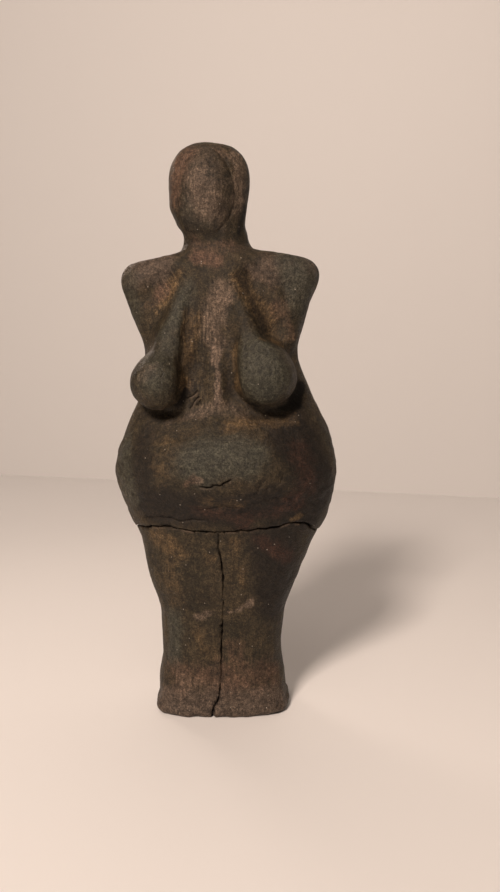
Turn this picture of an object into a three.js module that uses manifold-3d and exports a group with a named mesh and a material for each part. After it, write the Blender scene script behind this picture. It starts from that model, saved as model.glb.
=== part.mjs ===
// A small standing female figure of dark fired clay, modelled by hand in one solid piece: a blank
// face in a plain hood, shoulders without arms, hanging breasts, a round belly, wide hips and two
// legs pressed together on a flat base. Millimetres, +Z up, the figure faces -Y, and left and right
// are those of a viewer in front of it.
//
// The form is a distance field, negative inside the clay: lofts through a few levels, with rounded
// masses joined softly to them. One closed surface is drawn over it and cut flat at the base.
import * as THREE from 'three';
import { mergeVertices } from 'three/addons/utils/BufferGeometryUtils.js';
import Module from 'manifold-3d';

// Driving dimensions
const HEIGHT = 185;
const CROWN_START = 171;
const CROWN_RISE = HEIGHT - CROWN_START;
const CROWN_FULLNESS = 2.6;
const NECK_X = -3;
const LEFT_SHOULDER = { height: 152.3, fall: 0.175 };
const RIGHT_SHOULDER = { height: 153.1, fall: 0.13 };
const FACET = 2.9;
const ROOM = 400;
const SPARE = 7;
const EVENING_PASSES = 2;

// Blends: how far apart two masses start to flow into each other
const SHOULDER_EDGE = 6;
const BELLY_BLEND = 7;
const SEAT_BLEND = 6;
const NECK_BLEND = 4.5;
const CHEST_BLEND = 3;
const LEFT_BREAST_BLEND = 5;
const RIGHT_BREAST_BLEND = 7;
const SHALLOW = 4;
const DEEP = 3;

// A level is a cross-section at one height. Its left and right edges are X positions, its front and
// back are depths from Y = 0, and its squareness is 2 for an ellipse and more for a squarer section.
const level = (z, left, right, front, back, squareness) => ({ z, left, right, front, back, squareness });

const BODY_LEVELS = [
  level(-SPARE, -22.4, 20.6, 14.8, 12.4, 3.2),
  level(0, -22.9, 20.9, 15.2, 12.7, 3.4),
  level(1.8, -23.6, 21.4, 15.3, 13.2, 3.8),
  level(4.2, -22.6, 20.3, 14.7, 13, 3.6),
  level(9, -22.5, 20.1, 14.2, 12.9, 3.2),
  level(18.5, -21.2, 18.9, 13.6, 13, 3),
  level(33, -22, 20, 14.6, 14.6, 2.7),
  level(46, -26, 24.6, 16.2, 17.4, 2.5),
  level(58, -28.3, 29.6, 17, 20.6, 2.4),
  level(66, -31.9, 34, 18.6, 22, 2.3),
  level(81, -36.7, 36.9, 19.6, 22, 2.2),
  level(94, -32.8, 34.2, 16.4, 18.6, 2.2),
  level(106, -28, 28.6, 12.6, 15, 2.3),
  level(119, -26.3, 24.2, 10.6, 12.6, 2.4),
  level(132, -30.6, 26.6, 9.4, 11.4, 2.5),
  level(143, -33.3, 30.2, 8.6, 10.2, 2.5),
  level(156, -33.2, 31.2, 7.6, 8.8, 2.5),
];

const HEAD_LEVELS = [
  level(140, -14.6, 7.2, 8, 9.2, 2.3),
  level(152, -13.4, 8, 7.4, 9.4, 2.3),
  level(156, -13.2, 7.6, 7.8, 10, 2.4),
  level(160, -15.2, 6.6, 8.4, 11, 2.4),
  level(166, -17.5, 7.2, 9, 12, 2.4),
  level(172, -17.5, 8.1, 9, 12.4, 2.4),
  level(190, -17.2, 8.5, 9, 12.4, 2.4),
];

const point = (x, y, z) => new THREE.Vector3(x, y, z);

// Soft joins and cuts of two distances
function join(a, b, blend) {
  const overlap = Math.max(blend - Math.abs(a - b), 0) / blend;
  return Math.min(a, b) - (overlap * overlap * blend) / 4;
}

const common = (a, b, blend) => -join(-a, -b, blend);
const carve = (a, b, blend) => common(a, -b, blend);

// A smooth curve through one value of each level, which never swings past its neighbours
function curveThrough(levels, key) {
  const steps = levels.slice(1).map((next, i) => next.z - levels[i].z);
  const slopes = steps.map((step, i) => (levels[i + 1][key] - levels[i][key]) / step);
  const tangents = levels.map((_, i) => {
    if (i === 0) return slopes[0];
    if (i === slopes.length) return slopes[i - 1];
    const before = slopes[i - 1];
    const after = slopes[i];
    return before * after > 0 ? (2 * before * after) / (before + after) : 0;
  });
  const last = levels.length - 2;
  return (height) => {
    const z = THREE.MathUtils.clamp(height, levels[0].z, levels[last + 1].z);
    let i = 0;
    while (i < last && z > levels[i + 1].z) i += 1;
    const s = (z - levels[i].z) / steps[i];
    const rest = 1 - s;
    return (
      levels[i][key] * (1 + 2 * s) * rest * rest +
      levels[i + 1][key] * s * s * (3 - 2 * s) +
      steps[i] * s * rest * (tangents[i] * rest - tangents[i + 1] * s)
    );
  };
}

// A loft through the levels, as a distance. Size shrinks the section about its middle.
function loft(levels) {
  const [left, right, front, back, squareness] = ['left', 'right', 'front', 'back', 'squareness'].map(
    (key) => curveThrough(levels, key),
  );
  return (p, size = 1) => {
    const halfWidth = ((right(p.z) - left(p.z)) / 2) * size;
    const halfDepth = (p.y < 0 ? front(p.z) : back(p.z)) * size;
    const n = squareness(p.z);
    const across = p.x - (left(p.z) + right(p.z)) / 2;
    const reach = (Math.abs(across) / halfWidth) ** n + (Math.abs(p.y) / halfDepth) ** n;
    const ratio = Math.max(reach ** (1 / n), 0.001);
    return Math.hypot(across, p.y) * (1 - 1 / ratio);
  };
}

function ellipsoid(centre, radii) {
  return (p) => {
    const away = p.clone().sub(centre).divide(radii);
    const length = away.length();
    const steepness = Math.max(away.divide(radii).length(), 0.000001);
    return (length * (length - 1)) / steepness;
  };
}

function cone(start, end, startRadius, endRadius) {
  const line = new THREE.Line3(start, end);
  const nearest = new THREE.Vector3();
  return (p) => {
    const along = line.closestPointToPointParameter(p, true);
    const radius = THREE.MathUtils.lerp(startRadius, endRadius, along);
    return p.distanceTo(line.at(along, nearest)) - radius;
  };
}

// Body and head
const bodyLoft = loft(BODY_LEVELS);
const headLoft = loft(HEAD_LEVELS);
const belly = ellipsoid(point(0, -8, 82), point(26, 16.2, 16.5));
const seats = [-14.5, 14.5].map((x) => ellipsoid(point(x, 9.5, 75), point(16, 14.2, 16)));
const face = ellipsoid(point(-5.4, -4, 168.6), point(9.6, 8.1, 14.4));

function shoulderLine(x) {
  if (x < NECK_X) return LEFT_SHOULDER.height - LEFT_SHOULDER.fall * (NECK_X - x);
  return RIGHT_SHOULDER.height - RIGHT_SHOULDER.fall * (x - NECK_X);
}

function body(p) {
  const trunk = common(bodyLoft(p), p.z - shoulderLine(p.x), SHOULDER_EDGE);
  const bellied = join(trunk, belly(p), BELLY_BLEND);
  return seats.reduce((d, seat) => join(d, seat(p), SEAT_BLEND), bellied);
}

// How far a height has come from the start to the end, from 0 to 1
const partWay = (z, start, end) => THREE.MathUtils.clamp((z - start) / (end - start), 0, 1);

// The hood meets the face in an even edge, which softens towards the chin
function head(p) {
  const rise = THREE.MathUtils.clamp((p.z - CROWN_START) / CROWN_RISE, 0, 0.9999);
  const narrowing = (1 - rise ** CROWN_FULLNESS) ** (1 / CROWN_FULLNESS);
  const hood = Math.max(headLoft(p, narrowing), p.z - HEIGHT);
  const edge = THREE.MathUtils.lerp(2, 4, partWay(p.z, 163, 157));
  return join(hood, face(p), edge);
}

// Chest: a ridge down the middle, a roll of clay along each shoulder, with the right one running on
// down its side, and a fold beside the right breast
const chestMasses = [
  cone(point(-3.8, -3.8, 140), point(-2, -11.6, 104), 7, 2.8),
  cone(point(5, -5.2, 146.4), point(25.5, -3.4, 143), 4.4, 4.2),
  cone(point(23.4, -3.2, 141), point(19.8, -3.6, 125), 4, 3.2),
  cone(point(-12, -4.8, 144.4), point(-26, -3.8, 142), 4.4, 4.2),
  cone(point(13, -5, 142), point(20, -5.4, 123), 3.4, 3.2),
];

// Each breast hangs from a strap of clay
const leftStrap = cone(point(-9.6, -4.4, 144), point(-15.8, -8.3, 122), 4.8, 7);
const leftBreast = ellipsoid(point(-20.7, -12.2, 109.8), point(8.4, 9.8, 9.2));
const rightStrap = cone(point(3.4, -6.2, 143), point(9.2, -9.8, 121), 3.8, 6.6);
const rightBreast = ellipsoid(point(12.9, -12.8, 111.8), point(10.1, 9.8, 10));

// Hollows pressed in beside the breasts and the ridge
const hollows = [
  { shape: cone(point(-18.6, -12.2, 142), point(-27, -12, 126), 4, 4.2), blend: SHALLOW },
  { shape: cone(point(7.4, -12.8, 142), point(16.4, -13.6, 127.6), 2.8, 4.8), blend: SHALLOW },
  { shape: cone(point(11, -12.8, 142), point(22, -12.2, 140.4), 3, 3), blend: SHALLOW },
  { shape: cone(point(-10.4, -12.2, 137), point(-12.2, -16.4, 107), 0.8, 2.4), blend: DEEP },
  { shape: cone(point(1.6, -14.8, 130), point(2.6, -16.6, 106), 0.8, 2.4), blend: DEEP },
];

// The breasts flow out of the chest above and overhang it with a sharp crease below
function figure(p) {
  const crease = THREE.MathUtils.lerp(2, 5, partWay(p.z, 105, 119));
  let d = Math.max(join(body(p), head(p), NECK_BLEND), -SPARE - p.z);
  d = join(d, chestMasses[0](p), CHEST_BLEND);
  d = join(d, join(leftStrap(p), leftBreast(p), LEFT_BREAST_BLEND), crease);
  d = join(d, join(rightStrap(p), rightBreast(p), RIGHT_BREAST_BLEND), crease);
  d = chestMasses.slice(1).reduce((sum, mass) => join(sum, mass(p), CHEST_BLEND), d);
  return hollows.reduce((sum, hollow) => carve(sum, hollow.shape(p), hollow.blend), d);
}

// Moves a point onto the surface by a few short steps along the slope of the distance
const AXES = [point(1, 0, 0), point(0, 1, 0), point(0, 0, 1)];
const PROBE = 0.05;

function settle(p) {
  for (let round = 0; round < 4; round += 1) {
    const slopes = AXES.map((axis) => {
      const ahead = figure(p.clone().addScaledVector(axis, PROBE));
      const behind = figure(p.clone().addScaledVector(axis, -PROBE));
      return (ahead - behind) / (2 * PROBE);
    });
    const slope = point(...slopes);
    const step = slope.multiplyScalar(-figure(p) / Math.max(slope.lengthSq(), 0.001));
    p.add(step.clampLength(0, FACET / 2));
  }
  return p;
}

// Moves each vertex halfway to the middle of its neighbours, and back onto the surface
function evenOut(vertices, quads) {
  const middles = vertices.map(() => ({ total: point(0, 0, 0), neighbours: 0 }));
  for (const quad of quads) {
    for (let i = 0; i < 4; i += 1) {
      const middle = middles[quad[i]];
      middle.total.add(vertices[quad[(i + 1) % 4]]);
      middle.neighbours += 1;
    }
  }
  middles.forEach(({ total, neighbours }, i) => {
    settle(vertices[i].lerp(total.divideScalar(neighbours), 0.5));
  });
}

function twoTriangles([a, b, c, d], vertices) {
  const shortWay = vertices[a].distanceTo(vertices[c]) < vertices[b].distanceTo(vertices[d]);
  return shortWay ? [a, b, c, a, c, d] : [a, b, d, b, c, d];
}

// Draws the surface on a grid of cells, FACET wide, between two corners counted in cells from the
// origin: one vertex in each cell that it crosses, and one four-sided face around each grid edge
// that it crosses, as two triangles
function drawSurface(low, high) {
  const counts = high.clone().sub(low).addScalar(1).toArray();
  const strides = [1, counts[0], counts[0] * counts[1]];
  const place = (i, j, k) => point(i, j, k).add(low).multiplyScalar(FACET);
  const values = new Float64Array(counts[0] * counts[1] * counts[2]);
  const eachCorner = (visit) => {
    for (let k = 0; k < counts[2]; k += 1) {
      for (let j = 0; j < counts[1]; j += 1) {
        for (let i = 0; i < counts[0]; i += 1) visit(i, j, k, i + j * strides[1] + k * strides[2]);
      }
    }
  };
  eachCorner((i, j, k, at) => {
    values[at] = figure(place(i, j, k));
  });

  const sums = new Map();
  const faces = [];
  eachCorner((i, j, k, at) => {
    const corner = [i, j, k];
    for (let axis = 0; axis < 3; axis += 1) {
      const next = at + strides[axis];
      if (corner[axis] + 1 >= counts[axis] || values[at] < 0 === values[next] < 0) continue;
      const crossing = place(i, j, k);
      const share = values[at] / (values[at] - values[next]);
      crossing.addScaledVector(AXES[axis], share * FACET);
      const u = strides[(axis + 1) % 3];
      const v = strides[(axis + 2) % 3];
      const cells = [at - u - v, at - v, at, at - u];
      for (const cell of cells) {
        if (!sums.has(cell)) sums.set(cell, { total: point(0, 0, 0), crossings: 0 });
        sums.get(cell).total.add(crossing);
        sums.get(cell).crossings += 1;
      }
      faces.push(values[at] < 0 ? cells : cells.reverse());
    }
  });

  const order = new Map([...sums.keys()].map((cell, index) => [cell, index]));
  const vertices = [...sums.values()].map(({ total, crossings }) => settle(total.divideScalar(crossings)));
  const quads = faces.map((cells) => cells.map((cell) => order.get(cell)));
  for (let pass = 0; pass < EVENING_PASSES; pass += 1) evenOut(vertices, quads);
  return { vertices, triangles: quads.flatMap((quad) => twoTriangles(quad, vertices)) };
}

// A geometry of positions and an index only
function plainGeometry(positions, triangles) {
  const geometry = new THREE.BufferGeometry();
  geometry.setAttribute('position', new THREE.BufferAttribute(Float32Array.from(positions), 3));
  geometry.setIndex(new THREE.BufferAttribute(Uint32Array.from(triangles), 1));
  return geometry;
}

const wasm = await Module();
wasm.setup();

function solid(geometry) {
  geometry.deleteAttribute('normal');
  geometry.deleteAttribute('uv');
  const { attributes, index } = mergeVertices(geometry);
  const mesh = new wasm.Mesh({
    numProp: 3,
    vertProperties: Float32Array.from(attributes.position.array),
    triVerts: Uint32Array.from(index.array),
  });
  return new wasm.Manifold(mesh);
}

// The clay above the table, with the origin under the middle of its box
function figureGeometry() {
  const { vertices, triangles } = drawSurface(point(-15, -10, -4), point(15, 10, 66));
  const clay = solid(plainGeometry(vertices.flatMap((vertex) => vertex.toArray()), triangles));
  const room = new THREE.BoxGeometry(ROOM, ROOM, ROOM).translate(0, 0, ROOM / 2);
  const mesh = clay.intersect(solid(room)).getMesh();
  const geometry = plainGeometry(mesh.vertProperties, mesh.triVerts);
  geometry.computeBoundingBox();
  const middle = geometry.boundingBox.getCenter(point());
  geometry.translate(-middle.x, -middle.y, 0);
  geometry.computeVertexNormals();
  return geometry;
}

const firedClay = new THREE.MeshStandardMaterial({ color: 0x3e342c, roughness: 0.6, metalness: 0 });
const figurine = new THREE.Mesh(figureGeometry(), firedClay);
figurine.name = 'figurine';

const group = new THREE.Group();
group.add(figurine);

export default group;
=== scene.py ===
"""A small standing female figure of dark fired clay, on a pale table.

The figure is drawn as one fine mesh over a distance field: the same lofts and masses as the solid
that it stands for, with the finer work on top, which is cracks, a navel, tool marks, grit and the
unevenness of clay pressed by hand. Its patina is worked out from the form and painted as masks,
together with painted shade in its hollows, creases and cracks and painted highlights, sheen and
glints on its ridges, lips and raised parts, and the material turns the masks into colour.
"""
import math
from collections import namedtuple

import bpy
import numpy as np
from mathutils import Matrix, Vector


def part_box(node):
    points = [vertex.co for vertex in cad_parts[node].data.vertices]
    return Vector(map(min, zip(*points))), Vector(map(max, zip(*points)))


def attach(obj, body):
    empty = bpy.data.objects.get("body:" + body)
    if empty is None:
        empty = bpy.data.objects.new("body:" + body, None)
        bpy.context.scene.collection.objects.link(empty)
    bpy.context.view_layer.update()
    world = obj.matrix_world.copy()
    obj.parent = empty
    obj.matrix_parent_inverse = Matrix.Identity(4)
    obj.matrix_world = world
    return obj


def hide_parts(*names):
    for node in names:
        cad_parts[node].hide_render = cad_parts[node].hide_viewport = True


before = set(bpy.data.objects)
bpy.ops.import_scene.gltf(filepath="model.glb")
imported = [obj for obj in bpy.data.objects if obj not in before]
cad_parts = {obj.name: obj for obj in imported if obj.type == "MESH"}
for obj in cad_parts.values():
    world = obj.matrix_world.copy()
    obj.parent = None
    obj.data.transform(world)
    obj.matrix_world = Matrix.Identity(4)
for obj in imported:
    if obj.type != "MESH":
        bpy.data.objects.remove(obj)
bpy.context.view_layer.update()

# The form is measured in parts, 185 to its height, so a part is a millimetre at its true size
HEIGHT = 185.0
BOX_LOW, BOX_HIGH = (np.array(corner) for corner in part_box("figurine"))
PART = (BOX_HIGH[2] - BOX_LOW[2]) / HEIGHT

# Drawing the surface: the first grid, which the figure fits in with some to spare below its base, and
# how wide the finer bands beside the marks are
SPARE = 3.0
GRID_LOW = (-42.0, -30.0, -SPARE - 1)
GRID_HIGH = (42.0, 30.0, HEIGHT + 1)
ROUGH_CELL = 1.6
CRACK_BAND = 1.0
LINE_BAND = 0.8
HOOD_BAND = 0.6
SEED = 11

# Main sizes of the form
CROWN_START = 171.0
CROWN_RISE = HEIGHT - CROWN_START
CROWN_FULLNESS = 2.6
NECK_X = -3.0
LEFT_SHOULDER_HEIGHT, LEFT_SHOULDER_FALL = 152.3, 0.175
RIGHT_SHOULDER_HEIGHT, RIGHT_SHOULDER_FALL = 153.1, 0.13

# Blends: how far apart two masses start to flow into each other. Two of them change with height. The
# breasts meet the body in a sharp crease below and softly above. The face meets the hood in a firm
# line above and softly at the chin.
BASE_EDGE = 1.2
SHOULDER_EDGE = 6.0
BELLY_BLEND = 7.0
SEAT_BLEND = 6.0
NECK_BLEND = 4.5
CHEST_BLEND = 3.0
LEFT_BREAST_BLEND = 5.0
RIGHT_BREAST_BLEND = 7.0
CREASE_HEIGHTS, CREASE_BLENDS = (105.0, 119.0), (0.8, 5.0)
CHIN_HEIGHTS, CHIN_BLENDS = (157.0, 163.0), (4.0, 1.4)

# Depths of the marks, and the size of the strokes of rubbing
HIP_CRACK_DEPTH = 1.5
LEG_CRACK_DEPTH = 1.5
NAVEL_DEPTH = 1.1
TOOL_MARK_DEPTH = 0.45
WRINKLE_DEPTH = 0.3
HIP_CREASE_DEPTH = 0.6
COLLAR_FOLD_DEPTH = 0.4
HOOD_GROOVE_DEPTH = 0.28
STROKE_SIZE = 1.9

# Heights at which a feature starts, is full, starts to fade and ends
BELLY_HEIGHTS = (64, 70, 92, 98)
LEVEL_STROKE_HEIGHTS = (64, 70, 94, 101)
SPINE_HEIGHTS = (92, 104, 132, 144)
SEAT_CLEFT_HEIGHTS = (61, 66, 76, 86)

# Cross-sections of body and head: left and right edges are X positions, front and back are depths
Level = namedtuple("Level", "z left right front back squareness")

BODY_LEVELS = [
    Level(-SPARE, -22.4, 20.6, 14.8, 12.4, 3.2),
    Level(0.0, -22.9, 20.9, 15.2, 12.7, 3.4),
    Level(1.8, -23.6, 21.4, 15.3, 13.2, 3.8),
    Level(4.2, -22.6, 20.3, 14.7, 13.0, 3.6),
    Level(9.0, -22.5, 20.1, 14.2, 12.9, 3.2),
    Level(18.5, -21.2, 18.9, 13.6, 13.0, 3.0),
    Level(33.0, -22.0, 20.0, 14.6, 14.6, 2.7),
    Level(46.0, -26.0, 24.6, 16.2, 17.4, 2.5),
    Level(58.0, -28.3, 29.6, 17.0, 20.6, 2.4),
    Level(66.0, -31.9, 34.0, 18.6, 22.0, 2.3),
    Level(81.0, -36.7, 36.9, 19.6, 22.0, 2.2),
    Level(94.0, -32.8, 34.2, 16.4, 18.6, 2.2),
    Level(106.0, -28.0, 28.6, 12.6, 15.0, 2.3),
    Level(119.0, -26.3, 24.2, 10.6, 12.6, 2.4),
    Level(132.0, -30.6, 26.6, 9.4, 11.4, 2.5),
    Level(143.0, -33.3, 30.2, 8.6, 10.2, 2.5),
    Level(156.0, -33.2, 31.2, 7.6, 8.8, 2.5),
]
HEAD_LEVELS = [
    Level(140.0, -14.6, 7.2, 8.0, 9.2, 2.3),
    Level(152.0, -13.4, 8.0, 7.4, 9.4, 2.3),
    Level(156.0, -13.2, 7.6, 7.8, 10.0, 2.4),
    Level(160.0, -15.2, 6.6, 8.4, 11.0, 2.4),
    Level(166.0, -17.5, 7.2, 9.0, 12.0, 2.4),
    Level(172.0, -17.5, 8.1, 9.0, 12.4, 2.4),
    Level(190.0, -17.2, 8.5, 9.0, 12.4, 2.4),
]

# Round masses, each with a middle and its three radii. There is a seat on either side.
BELLY = ((0.0, -8.0, 82.0), (26.0, 16.2, 16.5))
SEATS = [((x, 9.5, 75.0), (16.0, 14.2, 16.0)) for x in (-14.5, 14.5)]
FACE = ((-5.4, -4.0, 168.6), (9.6, 8.1, 14.4))
LEFT_BREAST = ((-20.7, -12.2, 109.8), (8.4, 9.8, 9.2))
RIGHT_BREAST = ((12.9, -12.8, 111.8), (10.1, 9.8, 10.0))

# Rolls of clay, each from a start to an end with a radius at both. On the chest there are the strap
# above each breast, a ridge down the middle, a roll along each shoulder, with the right one running
# on down its side, and a fold.
LEFT_STRAP = ((-9.6, -4.4, 144.0), (-15.8, -8.3, 122.0), 4.8, 7.0)
RIGHT_STRAP = ((3.4, -6.2, 143.0), (9.2, -9.8, 121.0), 3.8, 6.6)
CHEST_RIDGE = ((-3.8, -3.8, 140.0), (-2.0, -11.6, 104.0), 7.0, 2.8)
CHEST_ROLLS = [
    ((5.0, -5.2, 146.4), (25.5, -3.4, 143.0), 4.4, 4.2),
    ((23.4, -3.2, 141.0), (19.8, -3.6, 125.0), 4.0, 3.2),
    ((-12.0, -4.8, 144.4), (-26.0, -3.8, 142.0), 4.4, 4.2),
    ((13.0, -5.0, 142.0), (20.0, -5.4, 123.0), 3.4, 3.2),
]
# Hollows beside the straps and the ridge, and undercuts below the breasts, each a roll with its blend
HOLLOWS = [
    (((-18.6, -12.2, 142.0), (-27.0, -12.0, 126.0), 4.0, 4.2), 4.0),
    (((7.4, -12.8, 142.0), (16.4, -13.6, 127.6), 2.8, 4.8), 4.0),
    (((11.0, -12.8, 142.0), (22.0, -12.2, 140.4), 3.0, 3.0), 4.0),
    (((-10.4, -12.2, 137.0), (-12.2, -16.4, 107.0), 0.8, 2.4), 2.0),
    (((1.6, -14.8, 130.0), (2.6, -16.6, 106.0), 0.8, 2.4), 3.0),
    (((7.0, -15.6, 100.8), (20.0, -13.2, 101.0), 1.2, 2.2), 2.0),
    (((20.0, -13.2, 101.0), (26.0, -9.4, 106.6), 2.2, 2.3), 2.0),
    (((-26.0, -11.8, 101.8), (-15.0, -13.6, 100.8), 1.8, 1.2), 3.0),
]

# The crack across the hips, as heights by the angle around the body, 0 in front and 90 on the right
HIP_CRACK = [
    (-180, 61.0), (-120, 60.5), (-75, 62.6), (-61, 63.8), (-48, 64.3), (-25, 63.2), (-8, 63.1),
    (12, 63.5), (32, 63.9), (42, 64.2), (54, 65.4), (62, 64.8), (76, 61.4), (120, 60.2), (180, 61.0),
]
# The crack between the legs, as X by height, and how wide it gapes by height
LEG_CRACK = [
    (0.0, -4.2), (3.8, -3.5), (6.4, -2.3), (11.0, -1.4), (21.0, -1.15), (33.0, -0.7), (45.0, -0.4),
    (50.0, -0.6), (55.0, -1.2), (58.5, -1.9), (63.0, -1.8),
]
LEG_CRACK_WIDTH = [
    (0.0, 2.0), (3.0, 1.3), (7.0, 0.9), (11.0, 0.5), (14.0, 0.35), (18.0, 0.7), (24.0, 1.0), (31.0, 0.9),
    (34.0, 0.5), (40.0, 0.4), (46.0, 0.6), (48.0, 0.9), (55.0, 1.0), (58.0, 0.5), (64.0, 0.35),
]
# Lines on the front, as X and height
NAVEL = [(-7.0, 78.5), (-5.2, 78.2), (-3.6, 78.4), (-2.9, 79.1), (-0.9, 78.9), (0.8, 79.9), (2.3, 80.7)]
WRINKLES = [
    [(2.5, 76.4), (8.1, 75.1), (11.2, 77.0), (11.8, 80.1)],
    [(13.7, 77.6), (17.4, 78.9), (18.9, 81.4)],
    [(8.1, 71.3), (12.7, 73.9), (17.4, 74.5), (21.1, 73.3)],
    [(-7.4, 70.7), (0.4, 72.0), (6.5, 71.3)],
]
COLLAR_FOLD = [(2.5, 148.3), (6.8, 146.8), (13.5, 144.9), (19.2, 144.6)]
HIP_CREASE = [(-25.3, 66.6), (-19.7, 67.3), (-16.4, 67.2), (-13.9, 66.4), (-10.3, 67.3), (-5.4, 67.2)]
TOOL_MARKS = [
    [(-8.3, 107.2), (-9.4, 106.1), (-11.4, 104.9)],
    [(-8.0, 105.3), (-9.0, 104.5), (-9.5, 103.6)],
    [(-7.4, 104.2), (-8.6, 102.9)],
    [(-9.6, 103.2), (-10.5, 101.9)],
]


def curve_through(positions, values, at):
    """A smooth curve through the values, which never swings past its neighbours."""
    positions = np.asarray(positions, float)
    values = np.asarray(values, float)
    steps = np.diff(positions)
    slopes = np.diff(values) / steps
    tangents = np.zeros(len(values))
    tangents[0], tangents[-1] = slopes[0], slopes[-1]
    before, after = slopes[:-1], slopes[1:]
    same_way = before * after > 0
    total = np.where(same_way, before + after, 1.0)
    tangents[1:-1] = np.where(same_way, 2 * before * after / total, 0.0)
    at = np.clip(at, positions[0], positions[-1])
    i = np.clip(np.searchsorted(positions, at) - 1, 0, len(steps) - 1)
    s = (at - positions[i]) / steps[i]
    rest = 1 - s
    ends = values[i] * (1 + 2 * s) * rest**2 + values[i + 1] * (3 - 2 * s) * s**2
    return ends + steps[i] * s * rest * (tangents[i] * rest - tangents[i + 1] * s)


def through_points(points, at):
    positions, values = zip(*points)
    return curve_through(positions, values, at)


# Distances, negative inside the clay, of arrays of points

def join(a, b, blend):
    overlap = np.maximum(blend - np.abs(a - b), 0) / blend
    return np.minimum(a, b) - overlap**2 * blend / 4


def common(a, b, blend):
    return -join(-a, -b, blend)


def carve(a, b, blend):
    return common(a, -b, blend)


def loft(p, levels, size=1.0):
    """A loft through the levels. Size shrinks the section about its middle."""
    columns = np.array(levels).T
    left, right, front, back, n = (curve_through(columns[0], column, p[..., 2]) for column in columns[1:])
    across = p[..., 0] - (left + right) / 2
    wide = np.abs(across) / ((right - left) / 2 * size)
    deep = np.abs(p[..., 1]) / (np.where(p[..., 1] < 0, front, back) * size)
    ratio = np.maximum((wide**n + deep**n) ** (1 / n), 0.001)
    return np.hypot(across, p[..., 1]) * (1 - 1 / ratio)


def ellipsoid(p, centre, radii):
    away = (p - np.array(centre)) / np.array(radii)
    length = np.linalg.norm(away, axis=-1)
    steepness = np.maximum(np.linalg.norm(away / np.array(radii), axis=-1), 1e-6)
    return length * (length - 1) / steepness


def cone(p, start, end, start_radius, end_radius):
    start, end = np.array(start), np.array(end)
    line = end - start
    along = np.clip((p - start) @ line / (line @ line), 0, 1)
    away = p - start - along[..., None] * line
    return np.linalg.norm(away, axis=-1) - (start_radius + (end_radius - start_radius) * along)


# The form

def shoulder_line(x):
    left = LEFT_SHOULDER_HEIGHT - LEFT_SHOULDER_FALL * (NECK_X - x)
    right = RIGHT_SHOULDER_HEIGHT - RIGHT_SHOULDER_FALL * (x - NECK_X)
    return np.where(x < NECK_X, left, right)


def body(p):
    d = common(loft(p, BODY_LEVELS), p[..., 2] - shoulder_line(p[..., 0]), SHOULDER_EDGE)
    d = join(d, ellipsoid(p, *BELLY), BELLY_BLEND)
    for seat in SEATS:
        d = join(d, ellipsoid(p, *seat), SEAT_BLEND)
    return d


def hood(p):
    rise = np.clip((p[..., 2] - CROWN_START) / CROWN_RISE, 0, 0.9999)
    narrowing = (1 - rise**CROWN_FULLNESS) ** (1 / CROWN_FULLNESS)
    return np.maximum(loft(p, HEAD_LEVELS, narrowing), p[..., 2] - HEIGHT)


def face(p):
    return ellipsoid(p, *FACE)


def left_breast(p):
    return join(cone(p, *LEFT_STRAP), ellipsoid(p, *LEFT_BREAST), LEFT_BREAST_BLEND)


def right_breast(p):
    return join(cone(p, *RIGHT_STRAP), ellipsoid(p, *RIGHT_BREAST), RIGHT_BREAST_BLEND)


def figure(p):
    """The whole form, without its marks."""
    crease = np.interp(p[..., 2], CREASE_HEIGHTS, CREASE_BLENDS)
    chin = np.interp(p[..., 2], CHIN_HEIGHTS, CHIN_BLENDS)
    d = join(body(p), join(hood(p), face(p), chin), NECK_BLEND)
    d = join(d, cone(p, *CHEST_RIDGE), CHEST_BLEND)
    d = join(d, left_breast(p), crease)
    d = join(d, right_breast(p), crease)
    for roll in CHEST_ROLLS:
        d = join(d, cone(p, *roll), CHEST_BLEND)
    for hollow, blend in HOLLOWS:
        d = carve(d, cone(p, *hollow), blend)
    return common(d, -p[..., 2], BASE_EDGE)


def slope_of(distance, p, probe=0.05):
    """The gradient of a distance, by small differences."""
    slopes = [distance(p + probe * axis) - distance(p - probe * axis) for axis in np.eye(3)]
    return np.stack(slopes, axis=-1) / (2 * probe)


def settle(p, longest_step, rounds=4):
    """Moves points onto the surface by a few short steps along its slope."""
    for _ in range(rounds):
        slope = slope_of(figure, p)
        steepness = np.maximum((slope**2).sum(-1), 0.001)
        step = -(figure(p) / steepness)[:, None] * slope
        length = np.linalg.norm(step, axis=-1)
        step *= np.minimum(1, longest_step / np.maximum(length, 1e-9))[:, None]
        p = p + step
    return p


def unit(vectors):
    return vectors / np.maximum(np.linalg.norm(vectors, axis=-1), 1e-9)[..., None]


# Drawing the surface: one vertex in each grid cell that it crosses, one face around each grid edge

def neighbours(shape, axis, steps):
    """Slices of a grid, cut along the two axes other than the named one."""
    cut = [slice(None)] * 3
    for other, step in zip([a for a in range(3) if a != axis], steps):
        cut[other] = slice(step, step + shape[other] - 1)
    return tuple(cut)


def draw_surface(low, high, cell):
    axes = [np.arange(a, b + cell, cell) for a, b in zip(low, high)]
    grid = np.stack(np.meshgrid(*axes, indexing="ij"), -1)
    values = np.stack([figure(plane) for plane in grid])
    inside = values < 0
    cells = tuple(n - 1 for n in values.shape)
    total = np.zeros(cells + (3,))
    count = np.zeros(cells)
    for axis in range(3):
        near = np.take(values, range(values.shape[axis] - 1), axis)
        far = np.take(values, range(1, values.shape[axis]), axis)
        crossed = (near < 0) != (far < 0)
        share = np.where(crossed, near / np.where(crossed, near - far, 1), 0)
        place = np.take(grid, range(grid.shape[axis] - 1), axis)
        place[..., axis] += share * cell
        for steps in ((0, 0), (0, 1), (1, 0), (1, 1)):
            cut = neighbours(values.shape, axis, steps)
            total += place[cut] * crossed[cut][..., None]
            count += crossed[cut]
    used = count > 0
    index = np.full(cells, -1)
    index[used] = np.arange(used.sum())
    vertices = total[used] / count[used][:, None]
    return vertices, np.concatenate([faces_across(inside, index, axis) for axis in range(3)])


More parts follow.
